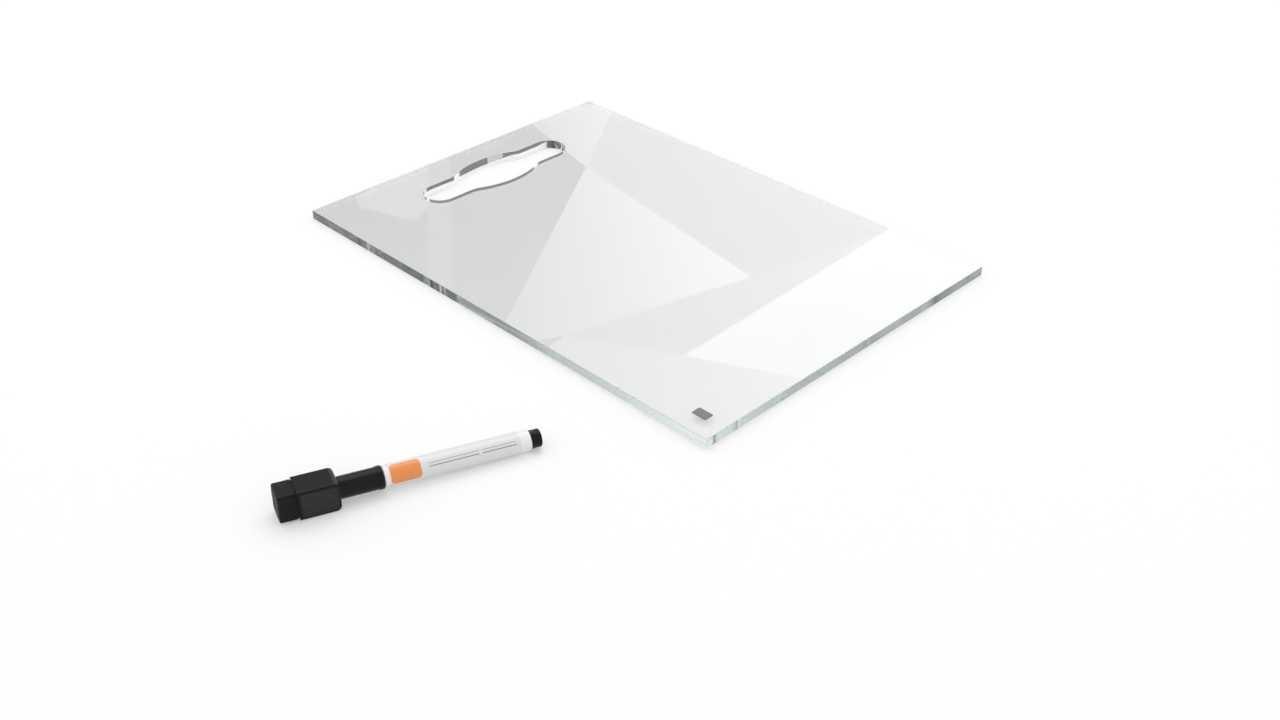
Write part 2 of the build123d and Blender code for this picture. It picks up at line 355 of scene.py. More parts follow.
def printed_film(pen):
    """Printed polypropylene film with a clear gloss laminate: a pale grey ground, a patch
    with round corners and plain rules, all under one even gloss."""
    material, tree = empty_material("polypropylene_film_printed")
    place = add(tree, "ShaderNodeTexCoord")
    own = add(tree, "ShaderNodeMapping", {
        "Vector": place.outputs["Object"], "Location": pen_start, "Rotation": pen_euler},
        vector_type="TEXTURE")
    parts = add(tree, "ShaderNodeSeparateXYZ", {"Vector": own.outputs["Vector"]})
    angle = add(tree, "ShaderNodeMath", {
        0: parts.outputs["Y"], 1: parts.outputs["Z"]}, operation="ARCTAN2")
    turned = add(tree, "ShaderNodeMath", {
        0: angle.outputs[0], 1: pen.print_turn}, operation="SUBTRACT")
    round_way = add(tree, "ShaderNodeMath", {
        0: turned.outputs[0], 1: PRINT_RADIUS}, operation="MULTIPLY")
    flat = add(tree, "ShaderNodeCombineXYZ", {
        "X": parts.outputs["X"], "Y": round_way.outputs[0]})

    # The patch: how far a point lies outside a rectangle, less the corner's radius
    middle = pen.patch_start + pen.patch_length / 2
    shift = add(tree, "ShaderNodeVectorMath", {
        0: flat.outputs["Vector"], 1: (middle, 0, 0)}, operation="SUBTRACT")
    away = add(tree, "ShaderNodeVectorMath", {0: shift.outputs[0]}, operation="ABSOLUTE")
    core = (pen.patch_length / 2 - PATCH_CORNER, pen.patch_width / 2 - PATCH_CORNER, 0)
    over = add(tree, "ShaderNodeVectorMath", {
        0: away.outputs[0], 1: core}, operation="SUBTRACT")
    outside = add(tree, "ShaderNodeVectorMath", {
        0: over.outputs[0], 1: (0, 0, 0)}, operation="MAXIMUM")
    far = add(tree, "ShaderNodeVectorMath", {0: outside.outputs[0]}, operation="LENGTH")
    patch = add(tree, "ShaderNodeMapRange", {
        "Value": far.outputs["Value"], "From Min": PATCH_CORNER - PATCH_BLUR,
        "From Max": PATCH_CORNER + PATCH_BLUR, "To Min": 1.0, "To Max": 0.0})

    # The rules: lines in rows, cut to a band, in two runs with a space between them
    rows = add(tree, "ShaderNodeMath", {
        0: round_way.outputs[0], 1: RULE_SHIFT}, operation="ADD")
    row_place = add(tree, "ShaderNodeMath", {
        0: rows.outputs[0], 1: RULE_SPACING / 2}, operation="PINGPONG")
    line = add(tree, "ShaderNodeMath", {
        0: row_place.outputs[0], 1: RULE_WIDTH / 2}, operation="LESS_THAN")
    band_away = add(tree, "ShaderNodeMath", {0: round_way.outputs[0]}, operation="ABSOLUTE")
    band = add(tree, "ShaderNodeMath", {
        0: band_away.outputs[0], 1: RULE_BAND / 2}, operation="LESS_THAN")
    first_run, second_run = [
        add(tree, "ShaderNodeMath", {
            0: parts.outputs["X"], 1: run_middle, 2: run_half}, operation="COMPARE")
        for run_middle, run_half in RULE_RUNS]
    runs = add(tree, "ShaderNodeMath", {
        0: first_run.outputs[0], 1: second_run.outputs[0]}, operation="MAXIMUM")
    rule_line = add(tree, "ShaderNodeMath", {
        0: line.outputs[0], 1: band.outputs[0]}, operation="MULTIPLY")
    rules = add(tree, "ShaderNodeMath", {
        0: rule_line.outputs[0], 1: runs.outputs[0]}, operation="MULTIPLY")

    # Ink lies unevenly, about a twentieth lighter and darker over a few tenths of a millimetre
    grain = add(tree, "ShaderNodeTexNoise", {
        "Vector": place.outputs["Object"], "Scale": 1 / (0.4 * MM), "Detail": 3.0})
    ground = add(tree, "ShaderNodeMixRGB", {
        "Fac": grain.outputs["Fac"], "Color1": (*(c * 0.97 for c in pen.label_colour), 1),
        "Color2": (*(min(1, c * 1.03) for c in pen.label_colour), 1)})
    ink = add(tree, "ShaderNodeMixRGB", {
        "Fac": grain.outputs["Fac"], "Color1": (*(c * 0.94 for c in pen.patch_colour), 1),
        "Color2": (*(min(1, c * 1.06) for c in pen.patch_colour), 1)})
    with_patch = add(tree, "ShaderNodeMixRGB", {
        "Fac": patch.outputs["Result"], "Color1": ground.outputs["Color"],
        "Color2": ink.outputs["Color"]})
    with_rules = add(tree, "ShaderNodeMixRGB", {
        "Fac": rules.outputs[0], "Color1": with_patch.outputs["Color"],
        "Color2": (*pen.rule_colour, 1)})
    bump = add(tree, "ShaderNodeBump", {
        "Height": grain.outputs["Fac"], "Distance": 0.002 * MM, "Strength": 0.3})
    film = add(tree, "ShaderNodeBsdfPrincipled", {
        "Base Color": with_rules.outputs["Color"], "Roughness": 0.35, "IOR": 1.49,
        "Coat Weight": 0.6, "Coat Roughness": 0.12, "Normal": bump.outputs["Normal"]})
    add(tree, "ShaderNodeOutputMaterial", {"Surface": film.outputs["BSDF"]})
    return material


def sintered_ferrite(pen):
    """Sintered ferrite, ground flat: dark grey and satin, with a fine speckle of grains."""
    material, tree = empty_material("ferrite_sintered_ground")
    place = add(tree, "ShaderNodeTexCoord")
    # Grains are far finer, and are drawn 0.15 mm wide so that they show
    grains = add(tree, "ShaderNodeTexVoronoi", {
        "Vector": place.outputs["Object"], "Scale": 1 / (0.15 * MM)})
    cloud = add(tree, "ShaderNodeTexNoise", {
        "Vector": place.outputs["Object"], "Scale": 1 / (2 * MM), "Detail": 4.0})
    speck = add(tree, "ShaderNodeMixRGB", {
        "Fac": grains.outputs["Distance"],
        "Color1": (*(c * 0.8 for c in pen.magnet_colour), 1),
        "Color2": (*(c * 1.5 for c in pen.magnet_colour), 1)})
    shade = add(tree, "ShaderNodeMixRGB", {
        "Fac": cloud.outputs["Fac"], "Color1": speck.outputs["Color"],
        "Color2": (*pen.magnet_colour, 1)})
    rough = add(tree, "ShaderNodeMapRange", {
        "Value": cloud.outputs["Fac"], "To Min": 0.42, "To Max": 0.6})
    bump = add(tree, "ShaderNodeBump", {
        "Height": grains.outputs["Distance"], "Distance": 0.01 * MM, "Strength": 0.5})
    ferrite = add(tree, "ShaderNodeBsdfPrincipled", {
        "Base Color": shade.outputs["Color"], "Roughness": rough.outputs["Result"],
        "IOR": 1.5, "Specular IOR Level": 0.3, "Normal": bump.outputs["Normal"]})
    add(tree, "ShaderNodeOutputMaterial", {"Surface": ferrite.outputs["BSDF"]})
    return material


def pressed_fibre(name, colour, spacing, depth, sheen):
    """Fibres pressed or bonded together: matt, mottled where they bunch, with a soft sheen
    from the loose ends."""
    material, tree = empty_material(name)
    place = add(tree, "ShaderNodeTexCoord")
    # A bunch is eight strands wide
    bunches = add(tree, "ShaderNodeTexNoise", {
        "Vector": place.outputs["Object"], "Scale": 1 / (8 * spacing), "Detail": 5.0,
        "Roughness": 0.65})
    strands = add(tree, "ShaderNodeTexNoise", {
        "Vector": place.outputs["Object"], "Scale": 1 / spacing, "Detail": 5.0,
        "Roughness": 0.7, "Distortion": 1.5})
    shade = add(tree, "ShaderNodeMixRGB", {
        "Fac": bunches.outputs["Fac"], "Color1": (*(c * 0.6 for c in colour), 1),
        "Color2": (*(min(1, c * 1.5) for c in colour), 1)})
    bump = add(tree, "ShaderNodeBump", {
        "Height": strands.outputs["Fac"], "Distance": depth, "Strength": 0.8})
    fibre = add(tree, "ShaderNodeBsdfPrincipled", {
        "Base Color": shade.outputs["Color"], "Roughness": 0.95, "IOR": 1.5,
        "Specular IOR Level": 0.2, "Sheen Weight": sheen, "Sheen Roughness": 0.5,
        "Normal": bump.outputs["Normal"]})
    add(tree, "ShaderNodeOutputMaterial", {"Surface": fibre.outputs["BSDF"]})
    return material


# The studio

# The photograph's camera, in the row's frame, and the nearest and furthest that it shows
CAMERA_PLACE = Vector((0.4806, -0.4778, 0.3815))
CAMERA_TARGET = Vector((0.0792, -0.0764, 0.0))
CAMERA_NEAR, CAMERA_FAR = 0.01, 100
PICTURE_WIDTH, PICTURE_HEIGHT, SENSOR_WIDTH = 1280, 720, 36.0
LAMP_PLACE = Vector((-0.69, 0.69, 2.41))
# The sheet guides light from edge to edge, which takes one bounce every 12 mm
GUIDED_BOUNCES = 66
# The floor lies a hair under the board, so the board's underside keeps its air gap. The white
# strips on it stand out a little past the board's edges.
FLOOR_GAP, STRIP_MARGIN = 0.05 * MM, 0.5 * MM

# What the top face mirrors: the cards' corners as the picture's pixels, and the light at each
# card's left and right end. A card is a plain sheet that glows and that only gloss shows, so the
# top face shows painted reflections; its light is painted to run from one end to the other, as
# if a lamp grazed it. The corners that cards share have names.
JOINT, FOOT, SPREAD, CROSS = (586, 167), (565, 335.5), (684, 355.5), (751, 277)
TOP_LEFT, TOP, TOP_RIGHT = (612, 112), (640, 40), (1000, 120)
BACK_END, BAND_END, LOW_END, LOW_RIGHT = (866, 239.5), (884, 232.5), (799, 378), (900, 470)
STRIP_TOP = (430, 205)
CARDS = {
    "dark_wall": (
        [(290, 228), (296, 186), (575, 72), (640, 112), (620, 360), (560, 380)], 0.0, 0.5),
    "back_card": ([JOINT, TOP_LEFT, TOP, TOP_RIGHT, (892, 231), BACK_END, CROSS], 1.48, 2.52),
    "middle_card": ([JOINT, CROSS, FOOT, (537, 341), (500, 350), (507, 319)], 1.12, 3.45),
    "corner_card": ([JOINT, (535, 127), (500, 60), TOP, TOP_LEFT], 0.8, 2.5),
    "low_card": ([FOOT, SPREAD, LOW_END, LOW_RIGHT, (707, 560), (470, 400)], 1.22, 3.6),
    "band_card": ([FOOT, CROSS, BACK_END, BAND_END, SPREAD], 1.42, 2.6),
    "bright_card": ([SPREAD, BAND_END, TOP_RIGHT, (1130, 300), LOW_RIGHT, LOW_END], 3.75, 3.9),
    "side_card": ([(357, 196), (359, 207), (414, 221), STRIP_TOP, (428, 160)], 0.92, 0.92),
    "strip_card": ([STRIP_TOP, (428, 340), (454, 340), (450, 150), (428, 150)], 0.58, 0.58),
}
# Each of these cards stands this much nearer than the one before
CARD_STEP = 0.02
# Low cards beside the sheet glow, and only light through the sheet shows them: painted light
# in the hand-hold's far walls. Where each one's foot starts and ends, its two heights, with the
# floor at 0, and its light
LOW_CARDS = {
    "left_low_card": ((-158.5 * MM, 24.7 * MM), (-158.5 * MM, 43 * MM), (-9 * MM, 13 * MM), 0.62),
    "back_low_card": ((-172 * MM, 115 * MM), (-122 * MM, 115 * MM), (2.5 * MM, 13 * MM), 0.5),
}
# A card's glow layer holds its light divided by this, so that it stays under 1
GLOW_SCALE = 4.0

# The room's walls as guided light shows them: the way they lie, in degrees from +X towards
# +Y, and their light
ROOM_RING = (
    (-180, 0.42), (-134, 0.54), (-128.5, 0.82), (-125, 0.64), (-122.5, 0.53), (-119, 0.44),
    (-103, 0.58), (-61, 0.36), (0, 0.36), (22, 0.16), (28, 0.13), (60, 0.13), (64, 0.84),
    (72, 0.84), (76, 0.13), (110, 0.14), (120, 0.5), (129.5, 0.9), (130.2, 1.05), (131.1, 1.2),
    (131.7, 1.2), (134, 1.08), (135.2, 0.97), (136.5, 0.82), (138, 0.75), (139, 0.78),
    (140.1, 0.7), (140.5, 0.38), (142.2, 0.31), (143.6, 0.43), (145, 0.13), (155, 0.13))
# Light turned or guided over a short way shows the dark side of the room, and over the
# longest way to +Y its light side: the counts of bounces that part them, and their light
SHORT_WAY, SHORT_LIGHT, LONG_WAY, LONG_LIGHT = 15.5, 0.14, 32.5, 1.35
# Straight through from the hand-hold's walls the dark side is a little lighter, and white
# where the hand-hold's outline breaks off
STRAIGHT_WAY = 4.5
STRAIGHT_RING = (
    (-180, 0.2), (-151, 0.2), (-149, 1.0), (-125, 1.0), (-123, 0.2), (81, 0.2), (83, 1.0),
    (101, 1.0), (103, 0.2), (160, 0.2), (162, 1.0), (178, 1.0), (179, 0.2))
# Light with more bounces than this counts as guided, also where no wall has turned it
GUIDED_WAY = 5.5
# A ramp holds its light divided by this, so that its colours stay under 1
RAMP_SCALE = 2.0


def fresh_share(tree, path):
    """1 for light that no matt surface has scattered."""
    fresh = add(tree, "ShaderNodeMath", {
        0: path.outputs["Diffuse Depth"], 1: 0.5}, operation="LESS_THAN")
    return fresh.outputs[0]


def guided_share(tree, path):
    """1 for light that a wall of the sheet has turned, or that has run a long way in it."""
    # A wall that turns light makes its count of inner reflections odd
    odd = add(tree, "ShaderNodeMath", {
        0: path.outputs["Glossy Depth"], 1: 2.0}, operation="MODULO")
    deep = add(tree, "ShaderNodeMath", {
        0: path.outputs["Ray Depth"], 1: GUIDED_WAY}, operation="GREATER_THAN")
    either = add(tree, "ShaderNodeMath", {
        0: odd.outputs[0], 1: deep.outputs[0]}, operation="MAXIMUM")
    guided = add(tree, "ShaderNodeMath", {
        0: either.outputs[0], 1: path.outputs["Is Transmission Ray"]}, operation="MULTIPLY")
    share = add(tree, "ShaderNodeMath", {
        0: guided.outputs[0], 1: fresh_share(tree, path)}, operation="MULTIPLY")
    return share.outputs[0]


def seen_share(tree, path):
    """1 for what the camera, a gloss or the sheet shows."""
    seen = add(tree, "ShaderNodeMath", {
        0: path.outputs["Is Camera Ray"], 1: path.outputs["Is Glossy Ray"]},
        operation="MAXIMUM")
    seen_all = add(tree, "ShaderNodeMath", {
        0: seen.outputs[0], 1: path.outputs["Is Transmission Ray"]}, operation="MAXIMUM")
    return seen_all.outputs[0]


def ring_light(tree, turned, ring):
    """The light of a ring of walls, of at most 32 stops, from the angle's share of a turn."""
    ramp = add(tree, "ShaderNodeValToRGB", {"Fac": turned})
    stops = ramp.color_ramp.elements
    stops.remove(stops[1])
    for index, (angle, level) in enumerate(ring):
        place, share = (angle + 180) / 360, level / RAMP_SCALE
        stop = stops.new(place) if index else stops[0]
        stop.position, stop.color = place, (share, share, share, 1)
    whole = add(tree, "ShaderNodeMath", {
        0: ramp.outputs["Color"], 1: RAMP_SCALE}, operation="MULTIPLY")
    return whole.outputs[0]


def seamless_paper(studio):
    """Seamless background paper, matt: a pale floor with nothing on it but the object's shadow.
    Guided light goes through it to the room's lower half, but for the white strips."""
    material, tree = empty_material("paper_floor")
    path = add(tree, "ShaderNodeLightPath")
    seen = seen_share(tree, path)
    colour = add(tree, "ShaderNodeMixRGB", {
        "Fac": seen, "Color1": (*studio.floor_colour, 1), "Color2": (1, 1, 1, 1)})
    paper = add(tree, "ShaderNodeBsdfDiffuse", {"Color": colour.outputs["Color"]})
    backdrop = add(tree, "ShaderNodeEmission", {"Color": (1, 1, 1, 1), "Strength": 1.0})
    share = add(tree, "ShaderNodeMath", {0: seen, 1: studio.floor_glow}, operation="MULTIPLY")
    shown = add(tree, "ShaderNodeMixShader", {
        "Fac": share.outputs[0], 1: paper.outputs["BSDF"], 2: backdrop.outputs["Emission"]})
    where = add(tree, "ShaderNodeNewGeometry")
    across = add(tree, "ShaderNodeSeparateXYZ", {"Vector": where.outputs["Position"]})
    half = studio.edge_strip / 2
    left_strip = add(tree, "ShaderNodeMath", {
        0: across.outputs["X"], 1: panel_low.x + half - STRIP_MARGIN, 2: half},
        operation="COMPARE")
    back_strip = add(tree, "ShaderNodeMath", {
        0: across.outputs["Y"], 1: panel_high.y - half + STRIP_MARGIN, 2: half},
        operation="COMPARE")
    strips = add(tree, "ShaderNodeMath", {
        0: left_strip.outputs[0], 1: back_strip.outputs[0]}, operation="MAXIMUM")
    open_share = add(tree, "ShaderNodeMath", {
        0: guided_share(tree, path), 1: strips.outputs[0]},
        operation="SUBTRACT", use_clamp=True)
    gap = add(tree, "ShaderNodeBsdfTransparent", {"Color": (1, 1, 1, 1)})
    floor_all = add(tree, "ShaderNodeMixShader", {
        "Fac": open_share.outputs[0], 1: shown.outputs["Shader"], 2: gap.outputs["BSDF"]})
    add(tree, "ShaderNodeOutputMaterial", {"Surface": floor_all.outputs["Shader"]})
    return material


def room_world(studio):
    """The room: even light, and white where the camera, a gloss or the sheet shows it. Guided
    light shows a ring of darker and lighter walls, which shades the cut edges."""
    world = bpy.data.worlds.new("room")
    world.use_nodes = True
    world.node_tree.nodes.clear()
    tree = world.node_tree
    path = add(tree, "ShaderNodeLightPath")
    lit = add(tree, "ShaderNodeMath", {
        0: path.outputs["Diffuse Depth"], 1: 0.5}, operation="GREATER_THAN")
    white = add(tree, "ShaderNodeMath", {
        0: seen_share(tree, path), 1: lit.outputs[0]}, operation="SUBTRACT", use_clamp=True)
    strength = add(tree, "ShaderNodeMix", {
        0: white.outputs[0], 2: studio.room_level, 3: 1.0})

    # The way that light leaves by, as a share of a turn
    place = add(tree, "ShaderNodeTexCoord")
    parts = add(tree, "ShaderNodeSeparateXYZ", {"Vector": place.outputs["Generated"]})
    azimuth = add(tree, "ShaderNodeMath", {
        0: parts.outputs["Y"], 1: parts.outputs["X"]}, operation="ARCTAN2")
    turned = add(tree, "ShaderNodeMapRange", {
        "Value": azimuth.outputs[0], "From Min": -pi, "From Max": pi}).outputs["Result"]

    # Light that has come a long way
    far = add(tree, "ShaderNodeMath", {
        0: path.outputs["Ray Depth"], 1: LONG_WAY}, operation="GREATER_THAN")
    behind = add(tree, "ShaderNodeMath", {
        0: parts.outputs["Y"], 1: 0.0}, operation="GREATER_THAN")
    far_behind = add(tree, "ShaderNodeMath", {
        0: far.outputs[0], 1: behind.outputs[0]}, operation="MULTIPLY")
    far_light = add(tree, "ShaderNodeMath", {
        0: far_behind.outputs[0], 1: LONG_LIGHT}, operation="MULTIPLY")
    lifted = add(tree, "ShaderNodeMath", {
        0: ring_light(tree, turned, ROOM_RING), 1: far_light.outputs[0]}, operation="MAXIMUM")

    # Light that has come a short way, or straight through
    near = add(tree, "ShaderNodeMath", {
        0: path.outputs["Ray Depth"], 1: SHORT_WAY}, operation="LESS_THAN")
    straight = add(tree, "ShaderNodeMath", {
        0: path.outputs["Ray Depth"], 1: STRAIGHT_WAY}, operation="LESS_THAN")
    near_light = add(tree, "ShaderNodeMix", {
        0: straight.outputs[0], 2: SHORT_LIGHT, 3: ring_light(tree, turned, STRAIGHT_RING)})
    walls = add(tree, "ShaderNodeMix", {
        0: near.outputs[0], 2: lifted.outputs[0], 3: near_light.outputs[0]})
    all_strength = add(tree, "ShaderNodeMix", {
        0: guided_share(tree, path), 2: strength.outputs[0], 3: walls.outputs[0]})
    light = add(tree, "ShaderNodeBackground", {
        "Color": (1, 1, 1, 1), "Strength": all_strength.outputs[0]})
    add(tree, "ShaderNodeOutputWorld", {"Surface": light.outputs["Background"]})
    return world


def photo_camera(studio):
    """A camera where the photograph's stood, aimed as it was."""
    camera = bpy.data.objects.new("camera", bpy.data.cameras.new("camera"))
    camera.data.lens, camera.data.sensor_width = studio.lens, SENSOR_WIDTH
    camera.data.clip_start, camera.data.clip_end = CAMERA_NEAR, CAMERA_FAR
    camera.location = CAMERA_PLACE
    camera.rotation_euler = (CAMERA_TARGET - CAMERA_PLACE).to_track_quat("-Z", "Y").to_euler()
    return camera


def key_lamp(studio):
    """One soft lamp, high and behind, which throws the badge's shadow towards the camera."""
    lamp = bpy.data.objects.new("key_lamp", bpy.data.lights.new("key_lamp", "AREA"))
    lamp.data.shape, lamp.data.size = "SQUARE", studio.key_size
    lamp.data.energy = studio.key_power
    lamp.location = LAMP_PLACE
    lamp.rotation_euler = (-LAMP_PLACE).to_track_quat("-Z", "Y").to_euler()
    lamp.visible_camera = lamp.visible_transmission = False
    return lamp


def glowing_card():
    """A glowing card that no lamp lights: painted light in its glow layer fades across it."""
    material, tree = empty_material("studio_card")
    glow = add(tree, "ShaderNodeVertexColor", layer_name="glow")
    path = add(tree, "ShaderNodeLightPath")
    level = add(tree, "ShaderNodeMath", {
        0: fresh_share(tree, path), 1: GLOW_SCALE}, operation="MULTIPLY")
    light = add(tree, "ShaderNodeEmission", {
        "Color": glow.outputs["Color"], "Strength": level.outputs[0]})
    add(tree, "ShaderNodeOutputMaterial", {"Surface": light.outputs["Emission"]})
    return material


def studio_card(name, places, levels, material):
    """One card, with the light of each corner in its glow layer."""
    work = bmesh.new()
    layer = work.loops.layers.float_color.new("glow")
    face = work.faces.new([work.verts.new(place) for place in places])
    for loop, level in zip(face.loops, levels):
        share = level / GLOW_SCALE
        loop[layer] = (share, share, share, 1)
    bmesh.ops.triangulate(work, faces=[face])
    card = mesh_piece(name, work, [material])
    card.visible_camera = card.visible_diffuse = card.visible_shadow = False
    return card


def mirrored_point(pixel, turn, focal, distance):
    """Where the top face mirrors one pixel of the picture, on an upright plane behind."""
    sight = turn @ Vector((pixel[0] - PICTURE_WIDTH / 2, PICTURE_HEIGHT / 2 - pixel[1], -focal))
    hit = CAMERA_PLACE + sight * ((panel_high.z - CAMERA_PLACE.z) / sight.z)
    bounce = Vector((sight.x, sight.y, -sight.z))
    away = Vector((-1, 1, 0)).normalized()
    return hit + bounce * ((distance - hit.dot(away)) / bounce.dot(away))


def set_cards(studio, camera):
    """Sets up the glowing cards: painted reflections in the top face, and low ones seen through
    it.
    """
    material = glowing_card()
    turn = camera.rotation_euler.to_matrix()
    focal = studio.lens / SENSOR_WIDTH * PICTURE_WIDTH
    for index, (name, (corners, first, last)) in enumerate(CARDS.items()):
        distance = studio.wall_distance - CARD_STEP * index
        places = [mirrored_point(corner, turn, focal, distance) for corner in corners]
        low, high = min(c[0] for c in corners), max(c[0] for c in corners)
        levels = [first + (last - first) * (c[0] - low) / (high - low) for c in corners]
        card = studio_card(name, places, levels, material)
        card.visible_transmission = False
    # Only light that has gone through the sheet shows the low cards, whose glow is painted light
    for name, (start, end, (low, high), light) in LOW_CARDS.items():
        places = [(*start, low), (*end, low), (*end, high), (*start, high)]
        card = studio_card(name, places, [light] * len(places), material)
        card.visible_glossy = False


class SCENE_OT_memo_studio(bpy.types.Operator):
    """Set the camera, the pale floor, the room, the soft lamp and the cards"""
    bl_idname = "scene.memo_studio"
    bl_label = "Studio"

    def execute(self, context):
        scene, studio = context.scene, context.scene.memo_studio
        scene.view_settings.view_transform = "Standard"
        scene.cycles.max_bounces = scene.cycles.transmission_bounces = GUIDED_BOUNCES
        scene.cycles.glossy_bounces = GUIDED_BOUNCES
        camera = photo_camera(studio)
        scene.collection.objects.link(camera)
        scene.camera = camera

        work = bmesh.new()
        bmesh.ops.create_grid(work, x_segments=1, y_segments=1, size=studio.floor_size / 2)
        floor = mesh_piece("floor", work, [seamless_paper(studio)])
        floor.location.z = -FLOOR_GAP

        scene.world = room_world(studio)
        scene.collection.objects.link(key_lamp(studio))
        set_cards(studio, camera)
        return {"FINISHED"}


# The board

# Steps along the arcs of a quarter of the hand-hold: its middle, its blend and its end
MIDDLE_STEPS, BLEND_STEPS, END_STEPS = 24, 16, 40
# Steps across an eased edge, and the hair of air that stays under the badge, so that the top
# face mirrors inside there as it does elsewhere
ARRIS_STEPS, BADGE_AIR = 4, 0.01 * MM


def hold_ring(board, inset, height):
    """The hand-hold's outline at one height. Inset widens it, for the eased edge."""
    half_slot = board.hold_slot_width / 2 + inset
    half_length = board.hold_length / 2 + inset
    middle = board.hold_middle_radius + inset
    offset = board.hold_middle_radius - board.hold_middle_width / 2
    blend = board.hold_blend_radius - inset
    blend_x = half_slot + blend
    blend_y = sqrt((middle + blend) ** 2 - (blend_x + offset) ** 2)
    meet = atan2(blend_y, blend_x + offset)
    quarter = []
    for k in range(MIDDLE_STEPS):
        turn = meet * k / MIDDLE_STEPS
        quarter.append((middle * cos(turn) - offset, middle * sin(turn)))
    for k in range(BLEND_STEPS + 1):
        turn = pi + meet * (1 - k / BLEND_STEPS)
        quarter.append((blend_x + blend * cos(turn), blend_y + blend * sin(turn)))
    for k in range(END_STEPS):
        turn = pi / 2 * k / END_STEPS
        quarter.append((half_slot * cos(turn), half_length - half_slot + half_slot * sin(turn)))
    tip = (0.0, half_length)
    right = quarter + [tip]
    left = [(-x, y) for x, y in reversed(quarter)]
    upper = right + left
    lower = [(-x, -y) for x, y in upper[1:-1]]
    centre = panel_low.x + board.hold_inset
    return [Vector((centre + x, y, height)) for x, y in upper + lower]


def edge_ring(inset, height):
    """The sheet's four corners at one height."""
    left, front = panel_low.x + inset, panel_low.y + inset
    right, back = panel_high.x - inset, panel_high.y - inset
    return [Vector((x, y, height)) for x, y in (
        (left, front), (right, front), (right, back), (left, back))]


def ring_edges(work, ring):
    """The edges that join the points of a closed ring."""
    return [work.edges.get((ring[k], ring[(k + 1) % len(ring)])) for k in range(len(ring))]


class OBJECT_OT_memo_sheet(bpy.types.Operator):
    """Build the clear sheet with smooth walls and a rounded arris, for the frame's node"""
    bl_idname = "object.memo_sheet"
    bl_label = "Acrylic sheet"

    def execute(self, context):
        board = context.scene.memo_board
        thickness, arris = panel_high.z - panel_low.z - BADGE_AIR, board.arris
        # How far each level of the wall stands in, and how far it lies from the nearer face
        turns = [pi / 2 * k / ARRIS_STEPS for k in range(ARRIS_STEPS + 1)]
        rounds = [(arris * (1 - cos(turn)), arris * (1 - sin(turn))) for turn in turns]
        levels = rounds[::-1] + [(inset, thickness - depth) for inset, depth in rounds]
        bottom, top = 0, len(levels) - 1
        work = bmesh.new()
        caps = {bottom: [], top: []}
        for make in (edge_ring, lambda inset, height: hold_ring(board, inset, height)):
            rings = [[work.verts.new(point) for point in make(inset, panel_low.z + height)]
                     for inset, height in levels]
            for lower, upper in zip(rings, rings[1:]):
                for k in range(len(lower)):
                    n = (k + 1) % len(lower)
                    work.faces.new((lower[k], lower[n], upper[n], upper[k])).smooth = True
                    # The sheet's four upright edges are crisp
                    if make is edge_ring:
                        work.edges.get((lower[k], upper[k])).smooth = False
            # The edges where a wall or a face ends keep a crisp normal
            for level in (bottom, ARRIS_STEPS, ARRIS_STEPS + 1, top):
                for edge in ring_edges(work, rings[level]):
                    edge.smooth = False
            for level, edges in caps.items():
                edges += ring_edges(work, rings[level])
        for edges in caps.values():
            bmesh.ops.triangle_fill(work, edges=edges, use_beauty=True)
        bmesh.ops.recalc_face_normals(work, faces=work.faces)
        sheet = mesh_piece("clear_sheet", work, [cast_acrylic(board)])
        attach(sheet, "board")
        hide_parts("acrylic_panel")
        return {"FINISHED"}


class OBJECT_OT_memo_badge(bpy.types.Operator):
    """Finish the bare badge in brushed foil"""
    bl_idname = "object.memo_badge"
    bl_label = "Corner badge"

    def execute(self, context):
        finish_node(frame["nodes"]["corner_badge"], brushed_foil(context.scene.memo_board))
        return {"FINISHED"}


# The pen

class OBJECT_OT_memo_barrel(bpy.types.Operator):
    """Finish the barrel, its printed film and the tail plug"""
    bl_idname = "object.memo_barrel"
    bl_label = "Barrel and print"

    def execute(self, context):
        pen, nodes = context.scene.memo_pen, frame["nodes"]
        # Polypropylene, moulded in a polished tool: white, with a broad soft gloss
        finish_node(nodes["pen_barrel"], moulded_plastic(
            "polypropylene_moulded_white", pen.barrel_colour,
            roughness=0.22, grain=0.15 * MM, depth=0.003 * MM))
        finish_node(nodes["pen_label"], printed_film(pen))
        finish_node(nodes["end_plug"], moulded_plastic(
            "polypropylene_moulded_black", pen.black_colour,
            roughness=0.2, grain=0.12 * MM, depth=0.003 * MM, specular=0.2))
        return {"FINISHED"}


class OBJECT_OT_memo_writing_end(bpy.types.Operator):
    """Finish the parts under the cap: the section, the nib and the reservoir"""
    bl_idname = "object.memo_writing_end"
    bl_label = "Writing end"

    def execute(self, context):
        nodes = frame["nodes"]
        finish_node(nodes["nib_section"], moulded_plastic(
            "polypropylene_moulded_grey", linear("#4A4B4E"),
            roughness=0.35, grain=0.15 * MM, depth=0.005 * MM))
        finish_node(nodes["nib"], pressed_fibre(
            "polyester_fibre_bonded_inked", linear("#101014"),
            spacing=0.06 * MM, depth=0.03 * MM, sheen=0.1))
        finish_node(nodes["ink_reservoir"], pressed_fibre(
            "polyester_fibre_bundled", linear("#5C5C62"),
            spacing=0.08 * MM, depth=0.05 * MM, sheen=0.2))
        return {"FINISHED"}


